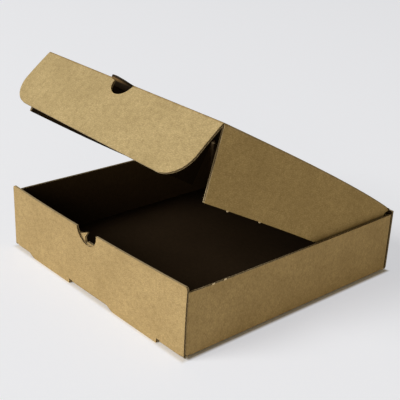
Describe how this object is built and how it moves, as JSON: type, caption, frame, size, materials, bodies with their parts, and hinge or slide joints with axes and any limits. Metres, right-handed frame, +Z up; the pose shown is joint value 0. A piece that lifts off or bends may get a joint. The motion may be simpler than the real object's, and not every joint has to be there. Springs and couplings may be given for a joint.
{
  "type": "pizza box",
  "caption": "Folded corrugated kraft box with a hinged tuck-in lid, open at an angle, for carrying flat baked food.",
  "frame": {"origin": "centre of the underside of the tray's bottom panel", "axes": "+Z up, +Y towards the back wall that carries the lid, +X to the right seen from the front"},
  "size_m": [0.2034, 0.2069, 0.1542],
  "materials": {
    "board": "matte"
  },
  "bodies": {
    "tray": {"tray": "board"},
    "lid": {"lid": "board"},
    "front_flap": {"lid_front_flap": "board"},
    "left_flap": {"lid_left_flap": "board"},
    "right_flap": {"lid_right_flap": "board"}
  },
  "joints": [
    {"name": "lid_hinge", "type": "hinge", "parent": "tray", "child": "lid", "pos_m": [0, 0.1007, 0.0482], "axis": [-1, 0, 0], "range_deg": [-25, 150]},
    {"name": "front_flap_fold", "type": "hinge", "parent": "lid", "child": "front_flap", "pos_m": [0, -0.07056, 0.14708], "axis": [1, 0, 0], "range_deg": [-69.5, 26.5]},
    {"name": "left_flap_fold", "type": "hinge", "parent": "lid", "child": "left_flap", "pos_m": [-0.0959, 0.0137, 0.09751], "axis": [0, -0.866, 0.5], "range_deg": [-1, 88]},
    {"name": "right_flap_fold", "type": "hinge", "parent": "lid", "child": "right_flap", "pos_m": [0.0959, 0.0137, 0.09751], "axis": [0, 0.866, -0.5], "range_deg": [-1, 88]}
  ]
}
